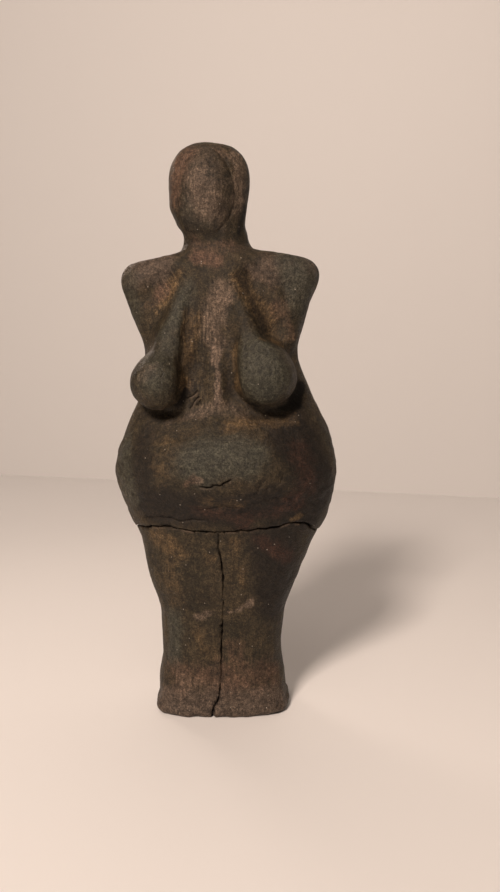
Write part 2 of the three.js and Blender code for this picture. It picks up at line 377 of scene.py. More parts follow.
def faces_across(inside, index, axis):
    """The faces around the grid edges along one axis that the surface crosses."""
    near = np.take(inside, range(inside.shape[axis] - 1), axis)
    far = np.take(inside, range(1, inside.shape[axis]), axis)
    edges = np.argwhere(near != far)
    u, v = (axis + 1) % 3, (axis + 2) % 3
    corners = []
    for du, dv in ((-1, -1), (0, -1), (0, 0), (-1, 0)):
        cell = edges.copy()
        cell[:, u] += du
        cell[:, v] += dv
        corners.append(index[tuple(cell.T)])
    faces = np.stack(corners, -1)
    leaving = near[tuple(edges.T)]
    faces[~leaving] = faces[~leaving][:, ::-1]
    return faces


# Noise

def lattice_noise(p, size, seed):
    """Smooth noise between -1 and 1, with features about the given size."""
    table = np.random.RandomState(seed).uniform(-1, 1, (32, 32, 32))
    q = p / size
    corner = np.floor(q).astype(int)
    s = q - corner
    s = s * s * (3 - 2 * s)
    value = np.zeros(len(p))
    for dx in (0, 1):
        for dy in (0, 1):
            for dz in (0, 1):
                weight = np.abs(1 - dx - s[:, 0]) * np.abs(1 - dy - s[:, 1]) * np.abs(1 - dz - s[:, 2])
                i, j, k = ((corner + (dx, dy, dz)) % 32).T
                value += weight * table[i, j, k]
    return value


def layered_noise(p, size, seed, layers=3):
    """Noise with finer layers, each half as large and half as strong as the last."""
    value = np.zeros(len(p))
    for layer in range(layers):
        value += lattice_noise(p, size / 2**layer, seed + layer) / 2**layer
    return value


# Marks on the surface. Each is a distance from the mark's line, in parts.

def angle_around(p):
    return np.degrees(np.arctan2(p[:, 0], -p[:, 1]))


def ragged(p, seed):
    """How far a crack strays from its course."""
    wander = 0.30 * lattice_noise(p, 2.6, seed) + 0.22 * lattice_noise(p, 1.1, seed + 1)
    return wander + 0.12 * lattice_noise(p, 0.6, seed + 2)


def hip_crack_offset(p):
    """Height above the crack across the hips."""
    return p[:, 2] - through_points(HIP_CRACK, angle_around(p)) + ragged(p, SEED + 20)


def leg_crack_offset(p):
    return p[:, 0] - through_points(LEG_CRACK, p[:, 2]) + 0.7 * ragged(p, SEED + 30)


def line_offset(p, points, waver=0.16):
    """Distance from a line drawn on the front, seen from in front."""
    flat = p[:, [0, 2]] + waver * np.stack([lattice_noise(p, 0.9, SEED + s) for s in (40, 41)], -1)
    nearest = np.full(len(p), 1e3)
    for start, end in zip(points[:-1], points[1:]):
        start, end = np.array(start), np.array(end)
        line = end - start
        along = np.clip((flat - start) @ line / (line @ line), 0, 1)
        nearest = np.minimum(nearest, np.linalg.norm(flat - start - along[:, None] * line, axis=-1))
    return np.where(p[:, 1] < 0, nearest, 1e3)


def hood_edge_offset(p):
    """How far a point is from where the face meets the hood."""
    offset = np.abs(face(p) - hood(p))
    on_head = (p[:, 2] > 156) & (p[:, 1] < 0)
    return np.where(on_head, offset, 1e3)


def groove(offset, half_width, softness=2.0):
    """1 on the line of a groove, falling to 0 at its sides."""
    return np.exp(-np.abs(offset / half_width) ** softness)


def fade(value, start, end):
    """0 at the start, 1 at the end, and smooth between them."""
    s = np.clip((value - start) / (end - start), 0, 1)
    return s * s * (3 - 2 * s)


def within(value, start, full, leaving, end):
    """1 in the middle of a range and 0 outside it, fading at both sides."""
    return fade(value, start, full) * (1 - fade(value, leaving, end))


def hip_crack(p):
    sideways = np.abs(angle_around(p))
    width = 0.25 + 0.14 * lattice_noise(p, 3.4, SEED + 24) + 0.10 * lattice_noise(p, 0.9, SEED + 25)
    opened = np.clip(0.85 + 0.8 * lattice_noise(p, 4.2, SEED + 26), 0.5, 1)
    opened *= 1 - 0.75 * fade(sideways, 95, 140)
    return groove(hip_crack_offset(p), np.maximum(width, 0.09), softness=3.0) * opened


def leg_crack(p):
    height = p[:, 2]
    width = through_points(LEG_CRACK_WIDTH, height)
    thickness = 0.21 * width * (1 + 0.8 * lattice_noise(p, 1.2, SEED + 34)) + 0.05
    below_hips = 1 - fade(height - through_points(HIP_CRACK, angle_around(p)), -0.3, 0.6)
    opened = (p[:, 1] < 0) * np.clip(0.30 + 0.7 * width + 0.5 * lattice_noise(p, 1.7, SEED + 35), 0.2, 1)
    return groove(leg_crack_offset(p), thickness, softness=3.0) * below_hips * opened


def navel(p):
    width = 0.15 + 0.10 * lattice_noise(p, 1.4, SEED + 42)
    return groove(line_offset(p, NAVEL), np.maximum(width, 0.08), softness=3.0)


def highlit_lips(p):
    """The lips below the hip crack, the navel and the tool marks, raised a little in the relief and painted
    with a highlight.
    """
    patchy = np.clip(0.4 + 1.2 * lattice_noise(p, 2.4, SEED + 44), 0, 1)
    hips = groove(hip_crack_offset(p) + 0.5, 0.22) * (np.abs(angle_around(p)) < 60)
    lip_of_navel = groove(line_offset(p + np.array([0.0, 0.0, 0.55]), NAVEL), 0.25)
    lips = [groove(line_offset(p + np.array([-0.3, 0.0, 0.3]), line), 0.2) for line in TOOL_MARKS]
    return np.max([hips, lip_of_navel, *lips], axis=0) * patchy


def tool_marks(p):
    marks = [groove(line_offset(p, line), 0.18) for line in TOOL_MARKS]
    return np.max(marks, axis=0)


def wrinkles(p):
    return np.max([groove(line_offset(p, line, waver=0.5), 0.4) for line in WRINKLES], axis=0)


def furrows(p):
    """Soft furrows down the back: along the spine, below it and between the legs."""
    height = p[:, 2]
    spine = 0.6 * groove(p[:, 0] + 2.0, 4.5) * within(height, *SPINE_HEIGHTS)
    seat = 1.0 * groove(p[:, 0], 2.0) * within(height, *SEAT_CLEFT_HEIGHTS)
    legs = 0.7 * groove(p[:, 0] + 1.0, 1.6) * (1 - fade(height, 52, 60))
    return (spine + seat + legs) * fade(p[:, 1], 2, 6)


def hip_step(p):
    """The trunk stands out a little above the crack across the hips, and the legs stand back."""
    above = hip_crack_offset(p)
    return np.where(above > 0, 0.25 - 0.5 * np.exp(-above / 0.5), -0.35) * np.exp(-np.abs(above) / 3.0)


def unevenness(p):
    """Clay pressed by hand, rubbed upright but level over the belly, smeared, and rougher at the base."""
    pressed = 0.32 * lattice_noise(p, 11.0, SEED) + 0.20 * lattice_noise(p, 5.5, SEED + 1)
    on_belly = within(p[:, 2], *BELLY_HEIGHTS) * (p[:, 1] < 0)
    upright = lattice_noise(p * np.array([1.0, 1.0, 0.3]), STROKE_SIZE, SEED + 2)
    level = lattice_noise(p * np.array([0.3, 1.0, 1.0]), STROKE_SIZE, SEED + 5)
    rubbed = (0.14 + 0.08 * on_belly) * (upright + (level - upright) * on_belly)
    rubbed += 0.07 * lattice_noise(p, 1.5, SEED + 3)
    smears = np.maximum(lattice_noise(p * np.array([0.3, 0.5, 1.0]), STROKE_SIZE, SEED + 6), -0.2)
    rubbed += 0.32 * smears * stained(p, SMEARED)
    base = 0.40 * lattice_noise(p, 3.2, SEED + 4) * (1 - fade(p[:, 2], 3, 9))
    return pressed + rubbed + base


def relief(p):
    """How far the surface stands out of the smooth form, in parts."""
    height = unevenness(p) + hip_step(p)
    height -= HIP_CRACK_DEPTH * hip_crack(p)
    height -= LEG_CRACK_DEPTH * leg_crack(p)
    height -= NAVEL_DEPTH * navel(p)
    height -= TOOL_MARK_DEPTH * tool_marks(p)
    height -= WRINKLE_DEPTH * wrinkles(p)
    height -= HIP_CREASE_DEPTH * groove(line_offset(p, HIP_CREASE), 0.4)
    height -= COLLAR_FOLD_DEPTH * groove(line_offset(p, COLLAR_FOLD), 0.7)
    height -= HOOD_GROOVE_DEPTH * groove(hood_edge_offset(p), 0.35)
    height -= furrows(p)
    height += 0.15 * groove(line_offset(p, NAVEL) - 0.7, 0.4) + 0.10 * highlit_lips(p)
    return height


# Building the figure

def halve_edges(vertices, triangles, close):
    """Splits each edge between two close vertices, and the triangles beside it."""
    sides = np.stack([triangles, np.roll(triangles, -1, axis=1)], axis=-1)
    sides = np.sort(sides.reshape(-1, 2), axis=1)
    keys, which = np.unique(sides[:, 0] * len(vertices) + sides[:, 1], return_inverse=True)
    edges = np.stack([keys // len(vertices), keys % len(vertices)], axis=-1)
    split = close[edges].all(axis=1)
    middle = np.full(len(edges), -1)
    middle[split] = len(vertices) + np.arange(split.sum())
    vertices = np.concatenate([vertices, vertices[edges[split]].mean(axis=1)])
    middles = middle[which].reshape(-1, 3)
    split_sides = (middles >= 0).sum(axis=1)
    pieces = [triangles[split_sides == 0]]
    a, b, c = triangles[split_sides == 3].T
    ab, bc, ca = middles[split_sides == 3].T
    pieces += [np.stack(corners, -1) for corners in ((a, ab, ca), (ab, b, bc), (ca, bc, c), (ab, bc, ca))]
    for side in range(3):
        chosen = (split_sides == 1) & (middles[:, side] >= 0)
        a, b, c = np.roll(triangles[chosen], -side, axis=1).T
        ab = middles[chosen, side]
        pieces += [np.stack(corners, -1) for corners in ((a, ab, c), (ab, b, c))]
    return vertices, np.concatenate(pieces)


def crease_offset(p):
    """How far a point is from where a breast meets the body."""
    rest = body(p)
    return np.minimum(np.abs(left_breast(p) - rest), np.abs(right_breast(p) - rest))


def near_marks(p):
    close = (np.abs(hip_crack_offset(p)) < CRACK_BAND) & (np.abs(angle_around(p)) < 125)
    on_legs = (p[:, 1] < -6) & (p[:, 2] < 66)
    close |= (np.abs(leg_crack_offset(p)) < CRACK_BAND) & on_legs
    close |= line_offset(p, NAVEL) < CRACK_BAND
    close |= hood_edge_offset(p) < HOOD_BAND
    for line in TOOL_MARKS + WRINKLES + [HIP_CREASE]:
        close |= line_offset(p, line) < LINE_BAND
    return close


def make_figure():
    vertices, quads = draw_surface(GRID_LOW, GRID_HIGH, ROUGH_CELL)
    vertices = settle(vertices, ROUGH_CELL / 2)
    triangles = np.concatenate([quads[:, [0, 1, 2]], quads[:, [0, 2, 3]]])
    everywhere = np.ones(len(vertices), bool)
    vertices, triangles = halve_edges(vertices, triangles, everywhere)
    vertices = settle(vertices, ROUGH_CELL / 4, 3)
    near_creases = crease_offset(vertices) < CRACK_BAND
    vertices, triangles = halve_edges(vertices, triangles, near_marks(vertices) | near_creases)
    vertices, triangles = halve_edges(vertices, triangles, near_marks(vertices))
    vertices = settle(vertices, ROUGH_CELL / 8, 2)
    normals = unit(slope_of(figure, vertices))
    shaped = vertices + normals * relief(vertices)[:, None]
    shaped[:, 2] = np.maximum(shaped[:, 2], 0)
    return vertices, normals, shaped, triangles


# Stains of the firing and of handling, and painted shade, highlights and sheen. Each has a line from a
# start to an end, a reach around that line and a strength.

Stain = namedtuple("Stain", "start end reach strength")


def along(path, reach, strength):
    """Stains end to end along a path."""
    return [Stain(start, end, reach, strength) for start, end in zip(path[:-1], path[1:])]


# Paths along the surface
# Below the breasts, where shadow is painted
UNDER_LEFT_BREAST = [
    (-22.8, -11.9, 101.8), (-20.4, -11.3, 100.4), (-17.8, -11.9, 100.8), (-15.2, -12.1, 102.4),
    (-12.9, -11.7, 105.0),
]
UNDER_RIGHT_BREAST = [
    (9.7, -14.4, 102.4), (12.8, -12.6, 101.2), (16.0, -11.8, 101.1), (19.2, -10.5, 101.7),
    (21.8, -9.2, 103.5), (23.8, -7.6, 105.6), (24.9, -6.1, 108.8),
]
FOLD_ABOVE_BELLY = [(1.3, -18.1, 96.3), (5.6, -17.0, 97.4), (11.2, -16.0, 97.2), (19.6, -12.8, 98.2)]
# The ridge of the breastbone, where a highlight is painted
BREASTBONE = [(-2.2, -12.9, 119.9), (-1.9, -13.5, 113.7), (-1.9, -14.2, 107.5), (-2.2, -14.7, 102.9)]
# In the groove beside the left strap, where shade is painted
BESIDE_LEFT_STRAP = [(-10.6, -10.4, 135.4), (-11.3, -11.0, 129.2), (-11.9, -11.6, 123.0)]
# Where the strokes of rubbing slant, where they are strong and where the clay is smeared
BESIDE_RIGHT_BREAST = Stain((6.0, -10.0, 143.0), (18.0, -12.0, 122.0), 4.0, 1.0)
BESIDE_LEFT_BREAST = Stain((-15.0, -9.0, 144.0), (-26.0, -9.0, 122.0), 4.0, 1.0)
RUBBED_CHEST = Stain((-8.0, -13.0, 130.0), (-6.0, -14.0, 106.0), 5.0, 0.8)
SMEARED = [
    Stain((-2.0, -20.0, 70.0), (22.0, -16.0, 74.0), 3.2, 1.0),
    Stain((-24.0, -14.0, 67.0), (-6.0, -18.0, 66.5), 1.4, 0.6),
]
STAINS_AND_PAINTED_LIGHT = {
    # Dark patches of the clay, with painted shade on the right side and lower part of the belly, on the
    # right thigh and in the valleys beside the breastbone
    "dark": [
        Stain((22.0, -16.0, 93.0), (30.0, -12.0, 76.0), 8.0, 1.0),
        Stain((10.0, -21.0, 73.0), (26.0, -15.0, 68.0), 6.0, 1.0),
        Stain((-24.0, -17.0, 71.0), (6.0, -22.0, 71.0), 6.0, 1.0),
        Stain((-24.0, -16.0, 76.0), (-27.0, -14.0, 92.0), 5.0, 0.65),
        Stain((16.0, -14.0, 60.0), (18.0, -12.0, 42.0), 9.0, 0.85),
        Stain((-4.0, -15.0, 40.0), (-14.0, -14.0, 42.0), 4.0, 0.4),
        Stain((-10.9, -10.6, 121.0), (-10.8, -11.6, 108.5), 1.6, 0.6),
        Stain((1.6, -11.8, 118.6), (1.8, -13.0, 106.8), 1.0, 0.6),
        Stain((-22.0, 20.0, 67.0), (20.0, 21.0, 66.0), 6.0, 0.6),
        Stain((8.0, 12.0, 122.0), (14.0, 17.0, 96.0), 6.0, 0.55),
    ],
    "dusty": [
        Stain((-22.0, -13.0, 3.0), (18.0, -14.0, 3.0), 6.5, 1.0),
        Stain((-8.0, -9.0, 179.0), (-5.0, -11.0, 163.0), 8.0, 0.5),
        Stain((-31.0, -6.0, 145.0), (-20.0, -6.0, 147.0), 5.0, 0.75),
        Stain((-28.0, -8.0, 141.0), (-21.0, -8.0, 142.5), 3.6, 0.6),
        Stain((12.0, -9.0, 144.5), (27.0, -7.0, 146.5), 4.5, 0.72),
        Stain((25.0, -8.0, 143.0), (28.0, -7.0, 133.0), 4.5, 0.55),
    ],
    "rust": [
        Stain((24.0, -17.0, 88.0), (27.0, -15.0, 79.0), 5.0, 0.55),
        Stain((6.0, -18.0, 68.0), (22.0, -16.0, 73.0), 3.5, 0.7),
        Stain((12.0, -14.0, 60.0), (20.0, -13.0, 54.0), 3.0, 0.7),
        Stain((-8.0, -20.0, 70.0), (4.0, -20.0, 69.0), 3.0, 0.5),
        Stain((-16.0, 21.0, 92.0), (-8.0, 19.0, 100.0), 5.0, 0.6),
        Stain((12.0, 16.0, 42.0), (16.0, 13.0, 26.0), 4.5, 0.6),
    ],
    # Painted shadow under the breasts, in the groove beside the left strap, in the hollow beside the right
    # strap and under the chin
    "painted_shadow": [
        *along(UNDER_LEFT_BREAST, 1.2, 1.0),
        *along(UNDER_RIGHT_BREAST, 1.3, 1.0),
        *along(BESIDE_LEFT_STRAP, 0.6, 0.5),
        Stain((5.0, -8.0, 144.0), (12.5, -10.0, 127.0), 1.9, 0.6),
        Stain((-15.0, -8.0, 158.5), (-3.0, -10.0, 156.5), 2.2, 0.45),
        Stain((5.0, -6.0, 156.5), (6.5, -4.0, 164.0), 1.7, 0.7),
    ],
    "red": [
        Stain((-16.0, -6.0, 168.0), (-11.0, -7.0, 180.0), 4.0, 0.6),
        Stain((-6.0, -6.0, 184.0), (3.0, -7.0, 181.0), 3.0, 0.3),
        Stain((-9.0, -8.0, 152.5), (4.0, -7.0, 152.0), 2.4, 0.42),
        Stain((-8.0, -9.0, 149.5), (-3.5, -9.0, 147.5), 2.6, 0.65),
        Stain((-24.0, -8.0, 134.0), (-20.0, -8.0, 139.0), 2.4, 0.55),
        Stain((11.0, -9.0, 143.0), (16.5, -9.0, 136.0), 2.6, 0.22),
        Stain((17.0, -9.0, 134.0), (21.5, -9.0, 124.0), 2.2, 0.4),
        Stain((-11.5, -22.6, 79.0), (-8.6, -23.6, 81.0), 1.6, 0.5),
        Stain((-20.0, -14.0, 13.0), (-3.0, -14.0, 14.0), 5.5, 0.5),
        Stain((2.0, -14.0, 13.0), (16.0, -12.0, 14.0), 5.0, 0.5),
        Stain((3.0, -14.0, 24.0), (6.0, -14.0, 15.0), 3.0, 0.4),
        Stain((-10.0, 11.0, 152.0), (4.0, 10.0, 151.0), 3.0, 0.4),
        Stain((-18.0, 13.0, 14.0), (0.0, 13.0, 11.0), 5.0, 0.5),
        Stain((20.0, 9.0, 139.0), (24.0, 9.0, 130.0), 3.0, 0.35),
    ],
    "ochre": [
        Stain((5.4, -9.0, 141.0), (17.6, -11.0, 124.0), 3.0, 0.62),
        Stain((8.0, -9.0, 137.0), (11.0, -10.0, 130.0), 1.0, 0.7),
        Stain((-13.5, -8.0, 145.0), (-19.0, -8.0, 135.5), 1.6, 0.7),
        Stain((-19.0, -8.0, 135.5), (-25.0, -8.0, 128.0), 1.6, 0.4),
        Stain((-9.6, -12.0, 130.0), (-12.6, -13.0, 110.0), 2.4, 0.6),
        Stain((3.0, -14.0, 122.0), (3.0, -14.5, 106.0), 1.3, 0.55),
        Stain((8.5, -15.0, 122.0), (12.5, -16.0, 122.5), 1.3, 0.6),
        *along(FOLD_ABOVE_BELLY, 2.3, 0.62),
        Stain((-24.0, -17.0, 91.0), (-17.0, -18.0, 92.0), 2.6, 0.30),
        Stain((-20.0, -18.0, 84.0), (-18.0, -19.0, 80.0), 3.0, 0.28),
        Stain((-6.0, -22.0, 74.0), (5.0, -21.0, 74.0), 2.6, 0.35),
        Stain((21.5, -16.0, 66.6), (24.0, -15.0, 67.4), 1.0, 0.9),
        Stain((-22.0, -14.0, 61.0), (-14.0, -14.0, 56.0), 3.0, 0.5),
        Stain((-7.0, -15.0, 60.0), (-4.5, -15.0, 55.0), 2.0, 0.45),
        Stain((3.5, -15.0, 60.0), (5.0, -15.0, 47.0), 2.6, 0.4),
        Stain((-17.6, -14.0, 50.0), (-16.0, -14.0, 40.0), 3.0, 0.35),
        Stain((-9.0, -14.0, 28.0), (-5.0, -14.0, 20.0), 3.0, 0.35),
        Stain((-24.0, 15.0, 60.0), (-14.0, 18.0, 53.0), 3.0, 0.5),
        Stain((12.0, 15.0, 104.0), (20.0, 16.0, 95.0), 3.0, 0.45),
        Stain((4.0, 15.0, 34.0), (6.0, 13.5, 20.0), 2.5, 0.4),
        Stain((-26.0, 6.0, 122.0), (-22.0, 12.0, 112.0), 2.5, 0.4),
    ],
    # Pale clay, with painted highlights along the ridge of the breastbone, on the face and on the top of
    # the left breast, and painted light on the right side of the hood
    "pale": [
        Stain((-2.0, -12.0, 137.5), (-2.6, -14.0, 124.0), 4.0, 0.6),
        Stain((-0.4, -12.0, 136.0), (0.4, -15.0, 130.0), 2.0, 0.8),
        *along(BREASTBONE, 1.3, 0.9),
        Stain((-18.0, -15.0, 97.5), (-8.0, -15.0, 101.0), 2.0, 0.58),
        Stain((-8.0, -15.0, 101.0), (2.0, -15.0, 103.0), 2.2, 0.5),
        Stain((2.0, -15.0, 103.0), (7.5, -15.2, 99.8), 1.6, 0.42),
        Stain((-7.0, -12.5, 172.0), (-5.0, -12.5, 163.0), 4.2, 0.56),
        Stain((-24.0, -20.0, 112.0), (-20.0, -22.0, 116.0), 2.6, 0.3),
        Stain((5.5, -7.0, 180.0), (6.0, -7.0, 163.0), 3.0, 0.6),
        Stain((-9.4, -23.4, 81.4), (-7.4, -23.8, 80.4), 0.9, 0.6),
        Stain((-9.0, -14.5, 34.4), (-3.0, -14.5, 35.8), 1.3, 0.6),
        Stain((0.5, -14.5, 36.0), (4.0, -14.5, 36.4), 1.0, 1.0),
        Stain((4.0, -14.5, 36.4), (8.0, -14.0, 39.4), 1.1, 0.8),
        Stain((-9.0, -15.0, 49.0), (-5.0, -15.0, 45.0), 2.0, 0.35),
        Stain((-16.0, -14.0, 12.0), (-6.0, -14.0, 10.0), 4.0, 0.38),
        Stain((-28.0, 9.0, 147.0), (-16.0, 9.5, 146.0), 3.0, 0.4),
        Stain((-6.0, 12.0, 176.0), (-1.0, 12.0, 166.0), 3.5, 0.45),
    ],
    # Grey of smoke and rubbing on raised parts, with painted sheen on the belly and the fronts of the
    # breasts
    "grey": [
        Stain((-20.0, -22.0, 111.0), (-17.0, -18.0, 122.0), 6.0, 0.7),
        Stain((13.0, -23.0, 111.0), (11.0, -20.0, 118.0), 8.0, 0.8),
        Stain((-8.0, -22.5, 86.0), (7.0, -23.0, 87.5), 7.0, 0.78),
        Stain((-33.0, -8.0, 92.0), (-31.0, -10.0, 74.0), 4.5, 0.6),
        Stain((-32.0, -6.0, 142.0), (-30.0, -6.0, 130.0), 5.0, 0.55),
        Stain((22.0, -7.0, 147.0), (27.0, -7.0, 132.0), 5.0, 0.7),
        Stain((-17.5, -13.0, 31.0), (-18.0, -13.0, 20.0), 4.0, 0.7),
        Stain((-13.0, -11.0, 164.0), (-6.0, -11.0, 158.0), 4.0, 0.4),
        Stain((-12.0, -13.0, 138.0), (-18.0, -14.0, 124.0), 3.6, 0.7),
        Stain((-15.0, 23.6, 80.0), (-13.0, 23.4, 72.0), 6.5, 0.8),
        Stain((15.0, 23.6, 80.0), (14.0, 23.4, 72.0), 6.5, 0.8),
        Stain((-22.0, 10.0, 138.0), (-14.0, 12.0, 122.0), 6.0, 0.65),
        Stain((33.0, 4.0, 84.0), (31.0, 6.0, 70.0), 5.0, 0.5),
        Stain((-14.0, 15.5, 40.0), (-14.0, 13.5, 24.0), 4.5, 0.6),
    ],
}


def stained(p, stains):
    """The strongest of the stains at each point, with soft uneven sides."""
    wobble = 1.6 * layered_noise(p, 6.0, SEED + 50)
    masks = []
    for stain in stains:
        offset = cone(p, stain.start, stain.end, 0, 0) + wobble
        masks.append(stain.strength * (1 - fade(offset, 0.3 * stain.reach, 1.9 * stain.reach)))
    return np.max(masks, axis=0)


def hollowness(p, normals, reach):
    """How much other clay closes in on each point, looking outwards as far as the reach."""
    return np.clip(1 - figure(p + normals * reach) / reach, 0, 1)


def paint(mesh, name, values):
    layer = mesh.attributes.new(name, "FLOAT", "POINT")
    layer.data.foreach_set("value", np.clip(values, 0, 1).astype(np.float32))


class Graph:
    """A material's nodes, made with their inputs in one line each."""

    def __init__(self, name):
        self.material = bpy.data.materials.new(name)
        self.material.use_nodes = True
        self.tree = self.material.node_tree
        self.shader = self.tree.nodes["Principled BSDF"]

    def node(self, kind, inputs, **settings):
        node = self.tree.nodes.new(kind)
        for name, value in settings.items():
            setattr(node, name, value)
        for name, value in inputs.items():
            self.feed(node.inputs[name], value)
        return node

    def feed(self, socket, value):
        if isinstance(value, bpy.types.NodeSocket):
            self.tree.links.new(value, socket)
        else:
            socket.default_value = value

    def noise(self, place, scale, detail=4.0, roughness=0.6):
        inputs = {"Vector": place, "Scale": scale, "Detail": detail, "Roughness": roughness}
        return self.node("ShaderNodeTexNoise", inputs).outputs["Fac"]

    def math(self, operation, a, b):
        return self.node("ShaderNodeMath", {0: a, 1: b}, operation=operation).outputs[0]

    def vector(self, operation, a, b):
        return self.node("ShaderNodeVectorMath", {0: a, 1: b}, operation=operation).outputs[0]

    def scaled(self, colour, factor):
        return self.node("ShaderNodeVectorMath", {0: colour, "Scale": factor}, operation="SCALE").outputs[0]

    def ramp(self, value, low, high, start=0.0, end=1.0):
        """Start below the low value, end above the high one, smooth between."""
        inputs = {"Value": value, "From Min": low, "From Max": high, "To Min": start, "To Max": end}
        return self.node("ShaderNodeMapRange", inputs, interpolation_type="SMOOTHSTEP").outputs[0]

    def mix(self, share, a, b):
        a, b = (value if isinstance(value, bpy.types.NodeSocket) else (*value, 1.0) for value in (a, b))
        return self.node("ShaderNodeMix", {0: share, 6: a, 7: b}, data_type="RGBA").outputs[2]

    def centred(self, noise, strength):
        """The noise around zero instead of around a half, times a strength."""
        return self.math("MULTIPLY", self.math("SUBTRACT", noise, 0.5), strength)

    def blend(self, share, a, b):
        return self.node("ShaderNodeMix", {0: share, 2: a, 3: b}).outputs[0]

    def painted(self, name):
        return self.node("ShaderNodeAttribute", {}, attribute_name=name).outputs["Fac"]


# Colours of the clay, from the firing's brown to its stains and to the painted shade, highlights, sheen
# and glints, in the order in which they are laid on
BROWN = (0.0205, 0.0158, 0.0084)
LIGHT_BROWN = (0.0335, 0.0242, 0.0128)
MOTTLED = (0.058, 0.0410, 0.0225)
TONES = {
    "dark": (0.009, 0.0064, 0.0042),
    "dusty": (0.070, 0.0510, 0.0375),
    "rust": (0.030, 0.0140, 0.0088),
    "grey": (0.0355, 0.0347, 0.0247),
    "ochre": (0.088, 0.0560, 0.026),
    "red": (0.090, 0.052, 0.034),
    "pale": (0.118, 0.085, 0.061),
    "painted_shadow": (0.003, 0.0026, 0.002),
}
# Painted highlight on the lower lips of the marks
PAINTED_LIP_HIGHLIGHT = (0.14, 0.10, 0.07)
# Painted shade in the hollows
PAINTED_SHADE_IN_HOLLOWS = (0.017, 0.011, 0.007)
# Painted shade inside the cracks
PAINTED_SHADE_IN_CRACKS = (0.004, 0.003, 0.003)
# Painted glints of the bright grains
GLINT = (0.46, 0.40, 0.33)


def rubbing_strokes(g, place):
    """Streaks of rubbing: upright, but slanting beside the straps and level over the belly."""
    def drawn_out(lean, squeeze=0.08, scale=1.5):
        turned = g.node("ShaderNodeMapping", {"Vector": place, "Rotation": (0, math.radians(lean), 0)})
        return g.noise(g.vector("MULTIPLY", turned.outputs["Vector"], (1.0, 1.0, squeeze)), scale)

    streaks = drawn_out(0)
    streaks = g.blend(g.painted("slanting_right"), streaks, drawn_out(-36))
    streaks = g.blend(g.painted("slanting_left"), streaks, drawn_out(34))
    return g.blend(g.painted("level"), streaks, drawn_out(90, squeeze=0.22, scale=0.6))


def colour_with_stains_and_painted_light(g, place, mottle, streaks):
    cloud = g.noise(place, scale=0.085, detail=5.0, roughness=0.62)
    colour = g.mix(g.ramp(cloud, 0.38, 0.62), BROWN, LIGHT_BROWN)
    colour = g.mix(g.ramp(mottle, 0.42, 0.72, 0.0, 0.45), colour, MOTTLED)
    for name, tone in TONES.items():
        broken_up = g.math("ADD", g.painted(name), g.centred(mottle, 0.65))
        broken_up = g.math("ADD", broken_up, g.centred(streaks, 0.5))
        share = g.math("MULTIPLY", g.ramp(broken_up, 0.12, 0.85), 0.92)
        share = g.math("MULTIPLY", share, g.ramp(g.painted(name), 0.0, 0.2))
        colour = g.mix(share, colour, tone)
    return colour


def grained_colour(g, colour, grain, grit, pitted, streaks):
    """The colour, broken up by the grain of the clay and by the rubbing."""
    shade = g.math("MULTIPLY", g.ramp(grain, 0.30, 0.72, 0.48, 1.75), g.ramp(grit, 0.30, 0.70, 0.58, 1.55))
    shade = g.math("MULTIPLY", shade, g.ramp(pitted, 0.32, 0.68, 0.70, 1.35))
    streak_depth = g.ramp(g.painted("stroked"), 0.0, 1.0, 0.13, 0.48)
    streak_shade = g.math("MULTIPLY", g.ramp(streaks, 0.32, 0.68, -1.0, 1.0), streak_depth)
    return g.scaled(g.scaled(colour, shade), g.math("ADD", streak_shade, 1.0))


def glints(g, place):
    """Painted glints: rare bright grains, more of them in some places than in others."""
    flakes = g.node("ShaderNodeTexVoronoi", {"Vector": place, "Scale": 1.7})
    chosen = g.node("ShaderNodeSeparateColor", {"Color": flakes.outputs["Color"]}).outputs[0]
    rarity = g.ramp(g.noise(place, scale=0.11, detail=2.0), 0.42, 0.62, 0.9992, 0.989)
    grains = g.math("GREATER_THAN", chosen, rarity)
    grains = g.math("MULTIPLY", grains, g.ramp(flakes.outputs["Distance"], 0.40, 0.12))
    return g.math("MULTIPLY", grains, g.math("SUBTRACT", 1.0, g.painted("crack")))


def clay_roughness(g, mottle, sparkle):
    """Satin where it is grey from smoke and rubbing and painted with sheen, dull in cracks and in the
    painted shadows.
    """
    roughness = g.ramp(mottle, 0.3, 0.7, 0.50, 0.64)
    roughness = g.math("SUBTRACT", roughness, g.math("MULTIPLY", g.painted("grey"), 0.15))
    roughness = g.math("ADD", roughness, g.math("MULTIPLY", g.painted("crack"), 0.4))
    roughness = g.math("ADD", roughness, g.math("MULTIPLY", g.painted("painted_shadow"), 0.3))
    return g.math("SUBTRACT", roughness, g.math("MULTIPLY", sparkle, 0.25))


def clay_bump(g, grain, grit, pitted, streaks):
    height = g.math("ADD", g.math("MULTIPLY", grain, 0.42), g.math("MULTIPLY", pitted, 0.55))
    height = g.math("ADD", height, g.math("MULTIPLY", streaks, 0.12))
    height = g.math("ADD", height, g.math("MULTIPLY", grit, 0.08))
    bump = g.node("ShaderNodeBump", {"Height": height, "Distance": PART, "Strength": 0.8})
    return bump.outputs["Normal"]


